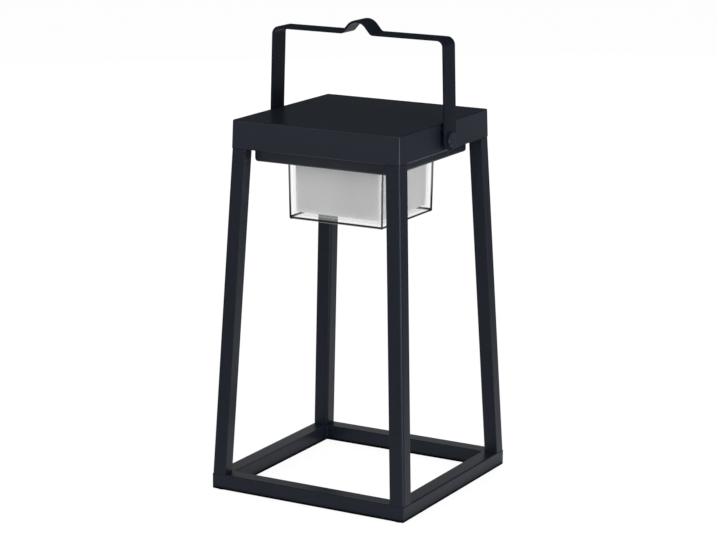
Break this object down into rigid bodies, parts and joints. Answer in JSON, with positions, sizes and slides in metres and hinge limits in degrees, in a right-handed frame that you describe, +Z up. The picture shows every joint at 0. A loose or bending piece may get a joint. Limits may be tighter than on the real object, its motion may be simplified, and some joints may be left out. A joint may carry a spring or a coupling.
{
  "type": "lantern table lamp",
  "caption": "Lantern table lamp: splayed square frame under a flat head with a clear light cup, and a swinging strap handle with a hook arch.",
  "frame": {"origin": "middle of the square footprint, on the surface that the lamp stands on", "axes": "+Z up; X runs along the handle's bar and its pivots; -Y is the face seen widest in the picture, and the charging port is at +Y"},
  "size_m": [0.153, 0.153, 0.3288],
  "materials": {
    "coat_metal": "fine matt powder coat, anthracite",
    "coat_screw": "satin anthracite",
    "tray_plastic": "matt, anthracite",
    "plug_plastic": "matt black",
    "rubber": "matt black",
    "screw_steel": "zinc plated",
    "clear_acrylic": "polished clear acrylic",
    "opal_plastic": "opal white",
    "plate_aluminium": "satin",
    "board_white": "white solder mask",
    "led_yellow": "gloss",
    "cell_wrap": "shrink wrap",
    "black_plastic": "matt black",
    "contact_steel": "nickel plated",
    "lead_red": "insulated wire",
    "board_green": "solder mask"
  },
  "bodies": {
    "lantern": {"base_frame": "coat_metal", "base_feet": "rubber", "base_screws": "screw_steel", "leg_front_left": "coat_metal", "leg_front_right": "coat_metal", "leg_back_left": "coat_metal", "leg_back_right": "coat_metal", "leg_foot_plugs": "plug_plastic", "leg_top_plugs": "plug_plastic", "leg_top_screws": "screw_steel", "cover": "coat_metal", "cover_seal": "rubber", "cover_screws": "screw_steel", "tray": "tray_plastic", "clear_cup": "clear_acrylic", "cup_gasket": "rubber", "diffuser": "opal_plastic", "light_plate": "plate_aluminium", "plate_screws": "screw_steel", "led_board": "board_white", "leds": "led_yellow", "battery_cell": "cell_wrap", "battery_holder": "black_plastic", "battery_contacts": "contact_steel", "battery_leads": "lead_red", "control_board": "board_green", "board_components": "black_plastic", "board_screws": "screw_steel", "charging_socket": "contact_steel", "switch_body": "black_plastic", "handle_pivots": "coat_screw", "handle_spacers": "plug_plastic", "handle_nuts": "screw_steel"},
    "handle": {"handle": "coat_metal"},
    "button": {"power_button": "rubber", "switch_plunger": "opal_plastic"},
    "port_plug": {"port_plug": "rubber"}
  },
  "joints": [
    {"name": "handle_swing", "type": "hinge", "parent": "lantern", "child": "handle", "pos_m": [0, 0, 0.2516], "axis": [1, 0, 0], "range_deg": [-90, 90]},
    {"name": "button_press", "type": "slide", "parent": "lantern", "child": "button", "axis": [0, 0, 1], "range_m": [0, 0.0006], "stiffness_N_per_m": 1200, "springref_m": -0.001},
    {"name": "port_plug_pull", "type": "slide", "parent": "lantern", "child": "port_plug", "axis": [0, 1, 0], "range_m": [0, 0.006]}
  ]
}
